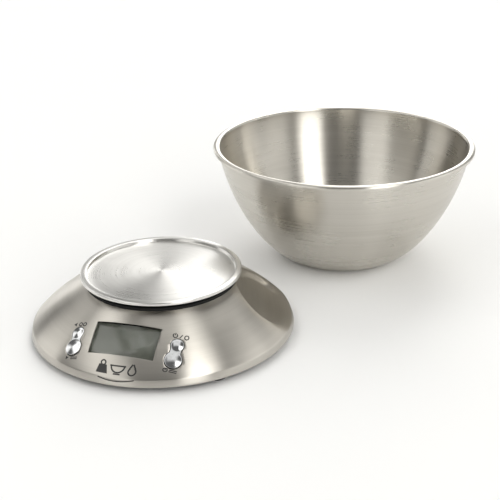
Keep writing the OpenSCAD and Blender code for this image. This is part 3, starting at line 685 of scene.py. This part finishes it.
for side, node, body in ((-1, "left_button", "left_rocker"), (1, "right_button", "right_rocker")):
    low = -PAD_PITCH / 2 - PAD_BOTTOM_R
    high = PAD_PITCH / 2 + PAD_TOP_R
    bm = bmesh.new()
    bmesh.ops.create_grid(bm, x_segments=22, y_segments=54, size=1)
    for vert in bm.verts:
        s = math.sin(vert.co.x * math.pi / 2)
        y = (low + high) / 2 + (high - low) / 2 * math.sin(vert.co.y * math.pi / 2)
        width = rocker_half_width(y)
        vert.co = Vector((s * width, y, rocker_top(s * width, y)))
    bmesh.ops.remove_doubles(bm, verts=bm.verts, dist=1e-4)
    rim = [e for e in bm.edges if e.is_boundary]
    skirt = bmesh.ops.extrude_edge_only(bm, edges=rim)["geom"]
    low_ring = [g for g in skirt if isinstance(g, bmesh.types.BMVert)]
    for vert in low_ring:
        vert.co.z = -ROCKER_DEPTH
    bmesh.ops.holes_fill(bm, edges=[e for e in bm.edges if e.is_boundary], sides=0)
    bmesh.ops.recalc_face_normals(bm, faces=bm.faces)
    crisp = [
        e for e in bm.edges
        if len(e.link_faces) == 2 and e.calc_face_angle() > math.radians(50)
        and e.verts[0].co.z > -1 and e.verts[1].co.z > -1
    ]
    bmesh.ops.bevel(
        bm, geom=crisp, offset=0.28, offset_type="OFFSET", segments=3, profile=0.5,
        affect="EDGES", material=-1, clamp_overlap=True,
    )
    bmesh.ops.transform(bm, matrix=on_rocker(side), verts=bm.verts)
    rocker = piece_from(bm, node.replace("button", "rocker_cap"), rocker_chrome, smooth=50)
    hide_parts(node)
    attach(rocker, body)

# ---------------------------------------------------------------------------
# Black mouldings: the collar in the cone's upper edge, the carrier under the
# tray, the display frame, the pan and the battery door, all matt ABS.
# ---------------------------------------------------------------------------
moulded_grain, (add, put, sum_of, ease, blend), given, result = group(
    "moulded_grain",
    (("Place", "NodeSocketVector", None), ("Grain", "NodeSocketFloat", 0.0008)),
    (("Height", "NodeSocketFloat"), ("Cloud", "NodeSocketFloat"), ("Edge", "NodeSocketFloat")),
)
closer = add("ShaderNodeVectorMath", operation="SCALE")
put(given["Place"], closer.inputs[0])
put(sum_of("DIVIDE", 1.0, given["Grain"]), closer.inputs["Scale"])
grain = add("ShaderNodeTexNoise")
put(closer.outputs[0], grain.inputs["Vector"])
grain.inputs["Scale"].default_value = 1.0
grain.inputs["Detail"].default_value = 2.0
put(grain.outputs["Fac"], result["Height"])
wide = add("ShaderNodeTexNoise")
put(given["Place"], wide.inputs["Vector"])
wide.inputs["Scale"].default_value = 45.0
put(wide.outputs["Fac"], result["Cloud"])
# Edge: a painted highlight, high on sharp convex edges, found from pointiness
edge_geometry = add("ShaderNodeNewGeometry")
put(ease(edge_geometry.outputs["Pointiness"], 0.52, 0.62), result["Edge"])


def moulded_plastic(name, dark, light, rough, grain=0.0008, dent=0.25, shine=0.35):
    """Fine-textured moulded plastic or rubber, with a painted highlight that lightens its edges a
    little
    """
    made, (add, put, sum_of, ease, blend), plastic = material(name)
    plastic.inputs["Specular IOR Level"].default_value = shine
    place = add("ShaderNodeTexCoord").outputs["Object"]
    skin = place_group(add, put, moulded_grain, Place=place, Grain=grain)
    tint = blend(skin["Cloud"], (*dark, 1), (*light, 1))
    # Painted highlight: the base colour is made lighter on sharp edges
    edge = tuple(min(1.0, c * 1.6 + 0.01) for c in light)
    painted_edge_highlight = sum_of("MULTIPLY", skin["Edge"], 0.5)
    put(blend(painted_edge_highlight, tint, (*edge, 1)), plastic.inputs["Base Color"])
    put(ease(skin["Height"], 0.3, 0.7, rough[0], rough[1]), plastic.inputs["Roughness"])
    bump = add("ShaderNodeBump")
    bump.inputs["Strength"].default_value = dent
    bump.inputs["Distance"].default_value = 0.00005
    put(skin["Height"], bump.inputs["Height"])
    put(bump.outputs[0], plastic.inputs["Normal"])
    return made


def give(finish, *nodes):
    """Give CAD nodes a finish"""
    for name in nodes:
        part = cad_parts[name]
        if part.material_slots:
            for slot in part.material_slots:
                slot.material = finish
        else:
            part.data.materials.append(finish)


# Painted shade: this matt ABS gets a darker colour than the pan's, so that the collar and carrier
# under the tray read as shaded
shaded_black_trim = moulded_plastic(
    "shaded_black_trim", (0.005, 0.005, 0.005), (0.009, 0.009, 0.009), (0.5, 0.62), shine=0.1,
)
black_pan = moulded_plastic(
    "black_pan", (0.018, 0.018, 0.019), (0.032, 0.032, 0.034), (0.5, 0.62), grain=0.0014,
)
give(shaded_black_trim, "collar", "platform_carrier", "display_frame", "rocker_bearings")
give(black_pan, "base_pan", "battery_door")

# ---------------------------------------------------------------------------
# Feet: soft black rubber, pressed into the pan by a stem, with a rounded edge
# and a shallow ring underneath that grips the table.
# ---------------------------------------------------------------------------
FOOT_R = 6.5
FOOT_RING_R = 88.5
PAN_BOTTOM = 3.1
PAN_TOP = 5.3
STEM_R = 2.1
FOOT_AZIMUTHS = (("front_left", 225), ("front_right", 315), ("rear_left", 135), ("rear_right", 45))
foot_rubber = moulded_plastic(
    "foot_rubber", (0.014, 0.014, 0.015), (0.03, 0.03, 0.032), (0.62, 0.78), dent=0.4,
)
foot_profile = (
    [(0, 0.5), (2.6, 0.5)]
    + arc((3.1, 0.35), 0.35, 160, 270, 4)
    + [(4.6, 0)]
    + arc((FOOT_R - 0.9, 0.9), 0.9, -90, 0, 6)
    + [(FOOT_R, 2.6), (FOOT_R - 0.1, PAN_BOTTOM)]
    + [(STEM_R, PAN_BOTTOM), (STEM_R, PAN_TOP), (0, PAN_TOP)]
)
for corner, azimuth in FOOT_AZIMUTHS:
    bm = spin_profile(foot_profile, ((0, 360, 48),))
    bmesh.ops.recalc_face_normals(bm, faces=bm.faces)
    turn = math.radians(azimuth)
    away = (FOOT_RING_R * MM * math.cos(turn), FOOT_RING_R * MM * math.sin(turn), 0)
    bmesh.ops.translate(bm, vec=away, verts=bm.verts)
    foot = piece_from(bm, "rubber_foot_" + corner, foot_rubber)
    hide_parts("foot_" + corner)
    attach(foot, "base")

# ---------------------------------------------------------------------------
# Display: an acrylic pane behind the cut window and a blank liquid-crystal
# panel under it, both held by the black frame.
# ---------------------------------------------------------------------------
LENS_Z = -2.5
LENS_T = 1.2
clear_pane, (add, put, sum_of, ease, blend), pane = material("clear_pane")
place = add("ShaderNodeTexCoord").outputs["Object"]
marks = place_group(add, put, handling, Place=place, Size=0.012)
put(ease(marks["Smudge"], 0, 1, 0.01, 0.035), pane.inputs["Roughness"])
clean_pane = (0.97, 0.985, 0.97, 1)
marked_pane = (0.95, 0.97, 0.955, 1)
put(blend(marks["Smudge"], clean_pane, marked_pane), pane.inputs["Base Color"])
pane.inputs["Transmission Weight"].default_value = 1
pane.inputs["IOR"].default_value = 1.49
pane.inputs["Specular IOR Level"].default_value = 0.12
bm = bmesh.new()
bmesh.ops.create_cube(bm, size=1)
bmesh.ops.scale(bm, vec=(WINDOW_W + 2.4, WINDOW_H + 2.0, LENS_T), verts=bm.verts)
bmesh.ops.translate(bm, vec=(0, 0, LENS_Z + LENS_T / 2), verts=bm.verts)
bmesh.ops.bevel(
    bm, geom=list(bm.edges), offset=0.15, offset_type="OFFSET", segments=2, profile=0.5,
    affect="EDGES", material=-1,
)
bmesh.ops.transform(bm, matrix=on_panel(), verts=bm.verts)
window_pane = piece_from(bm, "window_pane", clear_pane)
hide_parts("window_lens")
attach(window_pane, "base")

lcd_film, (add, put, sum_of, ease, blend), film = material("lcd_film")
flat = add("ShaderNodeMapping", vector_type="TEXTURE")
put(add("ShaderNodeTexCoord").outputs["Object"], flat.inputs["Vector"])
flat.inputs["Location"].default_value = (0, -PANEL_Y * MM, PANEL_Z * MM + TABLE)
flat.inputs["Rotation"].default_value = (math.radians(PANEL_TILT), 0, 0)
apart = add("ShaderNodeSeparateXYZ")
put(flat.outputs[0], apart.inputs[0])
across, upward, _ = apart.outputs
# The film is painted darker just inside the window's edges: painted shade for the shadow that the
# cut edge casts into the recess
WINDOW_SHADE_ACROSS = (0.0222, 0.0245)
WINDOW_SHADE_UP = (0.0104, 0.0126)
shade_x = ease(sum_of("ABSOLUTE", across), *WINDOW_SHADE_ACROSS)
shade_y = ease(sum_of("ABSOLUTE", upward), *WINDOW_SHADE_UP)
painted_edge_shade = sum_of("MAXIMUM", shade_x, shade_y)
fibre = add("ShaderNodeTexNoise")
put(flat.outputs[0], fibre.inputs["Vector"])
fibre.inputs["Scale"].default_value = 5200.0
cloud = add("ShaderNodeTexNoise")
put(flat.outputs[0], cloud.inputs["Vector"])
cloud.inputs["Scale"].default_value = 60.0
tint = blend(cloud.outputs["Fac"], (0.19, 0.196, 0.16, 1), (0.205, 0.208, 0.174, 1))
tint = blend(sum_of("MULTIPLY", fibre.outputs["Fac"], 0.12), tint, (0.15, 0.16, 0.13, 1))
# Painted shade: the film's colour goes darker towards the window's edges
put(blend(sum_of("MULTIPLY", painted_edge_shade, 0.55), tint, (0.12, 0.125, 0.10, 1)), film.inputs["Base Color"])
put(ease(fibre.outputs["Fac"], 0.3, 0.7, 0.32, 0.42), film.inputs["Roughness"])
give(lcd_film, "lcd_glass")

# ---------------------------------------------------------------------------
# Printed marks: plain pad-printed signs in dark ink, a few hundredths of a
# millimetre thick, beside the rockers and below the window.
# ---------------------------------------------------------------------------
INK_T = 0.04
SIGN_GAP = 3.1
print_ink, (add, put, sum_of, ease, blend), ink = material("print_ink")
place = add("ShaderNodeTexCoord").outputs["Object"]
skin = place_group(add, put, moulded_grain, Place=place, Grain=0.0003)
thick_ink = (0.018, 0.018, 0.018, 1)
thin_ink = (0.04, 0.038, 0.036, 1)
put(blend(skin["Height"], thick_ink, thin_ink), ink.inputs["Base Color"])
put(ease(skin["Height"], 0.3, 0.7, 0.4, 0.55), ink.inputs["Roughness"])


def mark_dot(bm, x, y, radius, sides=20, turn=0.0):
    """Filled disc, or a triangle when it has three sides"""
    made = bmesh.ops.create_circle(bm, cap_ends=True, segments=sides, radius=radius)["verts"]
    spot = Matrix.Translation((x, y, 0)) @ Matrix.Rotation(math.radians(turn), 4, "Z")
    bmesh.ops.transform(bm, matrix=spot, verts=made)


def mark_bar(bm, x, y, length, width, turn=0.0, taper=0.0):
    """Straight stroke, or a block that narrows upwards"""
    made = bmesh.ops.create_grid(
        bm, x_segments=max(1, int(length)), y_segments=max(1, int(width)), size=0.5,
    )["verts"]
    for vert in made:
        vert.co.x *= 1 - taper * (vert.co.y + 0.5)
    spot = (
        Matrix.Translation((x, y, 0)) @ Matrix.Rotation(math.radians(turn), 4, "Z")
        @ Matrix.Diagonal((length, width, 1, 1))
    )
    bmesh.ops.transform(bm, matrix=spot, verts=made)


def mark_arc(bm, x, y, radius, width, start, end, steps=20):
    """Curved stroke about a centre"""
    a = math.radians(start)
    pair = [
        bm.verts.new((x + r * math.cos(a), y + r * math.sin(a), 0))
        for r in (radius - width / 2, radius + width / 2)
    ]
    bmesh.ops.spin(
        bm, geom=pair + [bm.edges.new(pair)], cent=(x, y, 0), axis=(0, 0, 1),
        angle=math.radians(end - start), steps=steps, use_merge=False,
    )


def lay_on_cone(bm, name, where):
    """Bend flat marks onto the cone and give them the ink's thickness"""
    bmesh.ops.transform(bm, matrix=where, verts=bm.verts)
    for vert in bm.verts:
        reach = math.hypot(vert.co.x, vert.co.y)
        wanted = (cone_r((vert.co.z - TABLE) / MM) + INK_T) * MM
        vert.co.x *= wanted / reach
        vert.co.y *= wanted / reach
    bmesh.ops.remove_doubles(bm, verts=bm.verts, dist=1e-6)
    for face in bm.faces:
        face.normal_update()
        if face.normal.z < 0:
            face.normal_flip()
    made = piece_from(bm, name, print_ink)
    thicken(made, INK_T)
    settle(made)
    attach(made, "base")


for side in (-1, 1):
    bm = bmesh.new()
    above = PAD_PITCH / 2 + PAD_TOP_R + SIGN_GAP
    below = -PAD_PITCH / 2 - PAD_BOTTOM_R - SIGN_GAP
    if side < 0:
        mark_dot(bm, -4.2, above - 0.3, 1.8, 3, 90)
        mark_dot(bm, -4.2, below + 0.3, 1.8, 3, 30)
        for x in (0.2, 3.8):
            mark_arc(bm, x, above, 1.25, 0.8, 0, 360)
        for y in (below + 0.7, below - 0.7):
            mark_bar(bm, 2.0, y, 5.6, 0.8)
    else:
        mark_arc(bm, -3.6, above, 1.5, 0.8, 125, 415)
        mark_bar(bm, -3.6, above + 1.1, 1.9, 0.75, 90)
        mark_bar(bm, 0.5, above, 3.2, 0.75, 62)
        mark_arc(bm, 4.6, above, 1.5, 0.8, 0, 360)
        mark_arc(bm, -3.2, below, 1.5, 0.75, 0, 360)
        mark_bar(bm, -3.2, below + 0.4, 1.3, 0.6, 90)
        for y in (below + 0.7, below - 0.7):
            mark_bar(bm, 2.4, y, 5.6, 0.8)
    lay_on_cone(bm, "rocker_signs_" + ("left" if side < 0 else "right"), on_rocker(side))

# A weight, a bowl and a drop over a shallow arc, for what the scale measures
MEASURE_SIGNS_AT = (0.6, -93.0, 14.8)
MEASURE_SIGNS_TILT = 43
bm = bmesh.new()
mark_arc(bm, -10.6, 3.6, 1.7, 1.1, 0, 360)
mark_bar(bm, -10.6, -0.9, 8.8, 6.4, taper=0.34)
mark_arc(bm, 0.6, 2.4, 4.8, 1.15, 180, 360)
mark_bar(bm, 0.6, 2.5, 11.6, 1.1)
mark_bar(bm, 0.6, -3.6, 5.0, 1.1)
mark_arc(bm, 11.2, -0.9, 2.7, 1.15, 125, 415)
mark_bar(bm, 9.95, 2.7, 3.9, 1.1, 62)
mark_bar(bm, 12.45, 2.7, 3.9, 1.1, 118)
mark_arc(bm, 0.6, 42.6, 51.6, 0.8, 255, 285, 30)
signs_at = (
    Matrix.Translation((0, 0, TABLE)) @ Matrix.Scale(MM, 4)
    @ Matrix.Translation(MEASURE_SIGNS_AT)
    @ Matrix.Rotation(math.radians(MEASURE_SIGNS_TILT), 4, "X")
)
lay_on_cone(bm, "measure_signs", signs_at)

# ---------------------------------------------------------------------------
# Works: the load cell with its screws and spacers, the circuit board, the
# cells and their contacts, and the leads, all closed in by the cone.
# ---------------------------------------------------------------------------


def plain_metal(name, dark, light, rough, grain=0.0005):
    """Cut, plated or extruded metal with a fine even grain"""
    made, (add, put, sum_of, ease, blend), metal = material(name)
    place = add("ShaderNodeTexCoord").outputs["Object"]
    skin = place_group(add, put, moulded_grain, Place=place, Grain=grain)
    marks = place_group(add, put, handling, Place=place, Size=0.008)
    put(blend(skin["Height"], (*dark, 1), (*light, 1)), metal.inputs["Base Color"])
    put(ease(marks["Smudge"], 0, 1, rough[0], rough[1]), metal.inputs["Roughness"])
    metal.inputs["Metallic"].default_value = 1
    return made


plated = plain_metal("nickel_plate", (0.58, 0.58, 0.57), (0.66, 0.66, 0.65), (0.22, 0.34))
give(
    plated, "battery_contacts", "pan_screws", "cell_spacer_lower", "cell_screws_lower",
    "overload_stop_screw", "cell_spacer_upper", "cell_screws_upper", "board_screws", "key_switches",
)
give(
    plain_metal("cell_aluminium", (0.66, 0.67, 0.68), (0.74, 0.75, 0.76), (0.3, 0.42), 0.0003),
    "load_cell",
)
mouldings = (
    ("white_potting", (0.74, 0.74, 0.72), (0.82, 0.82, 0.80), (0.5, 0.65), 0.002,
     ["gauge_potting"]),
    ("board_mask", (0.02, 0.11, 0.05), (0.03, 0.15, 0.07), (0.25, 0.35), 0.0006, ["main_board"]),
    ("chip_drop", (0.008, 0.008, 0.008), (0.014, 0.014, 0.014), (0.12, 0.2), 0.003,
     ["control_chip"]),
    ("contact_rubber", (0.03, 0.03, 0.032), (0.05, 0.05, 0.055), (0.6, 0.75), 0.0003,
     ["lcd_contact_strips"]),
    ("lead_sleeve", (0.22, 0.03, 0.03), (0.30, 0.05, 0.05), (0.4, 0.55), 0.0008,
     ["battery_wires", "gauge_cable"]),
    ("cell_sleeve", (0.04, 0.11, 0.24), (0.05, 0.14, 0.30), (0.25, 0.35), 0.004,
     ["battery_1", "battery_2"]),
    ("label_film", (0.68, 0.68, 0.66), (0.74, 0.74, 0.72), (0.45, 0.6), 0.0008, ["rating_label"]),
)
for name, dark, light, rough, grain, nodes in mouldings:
    give(moulded_plastic(name, dark, light, rough, grain), *nodes)
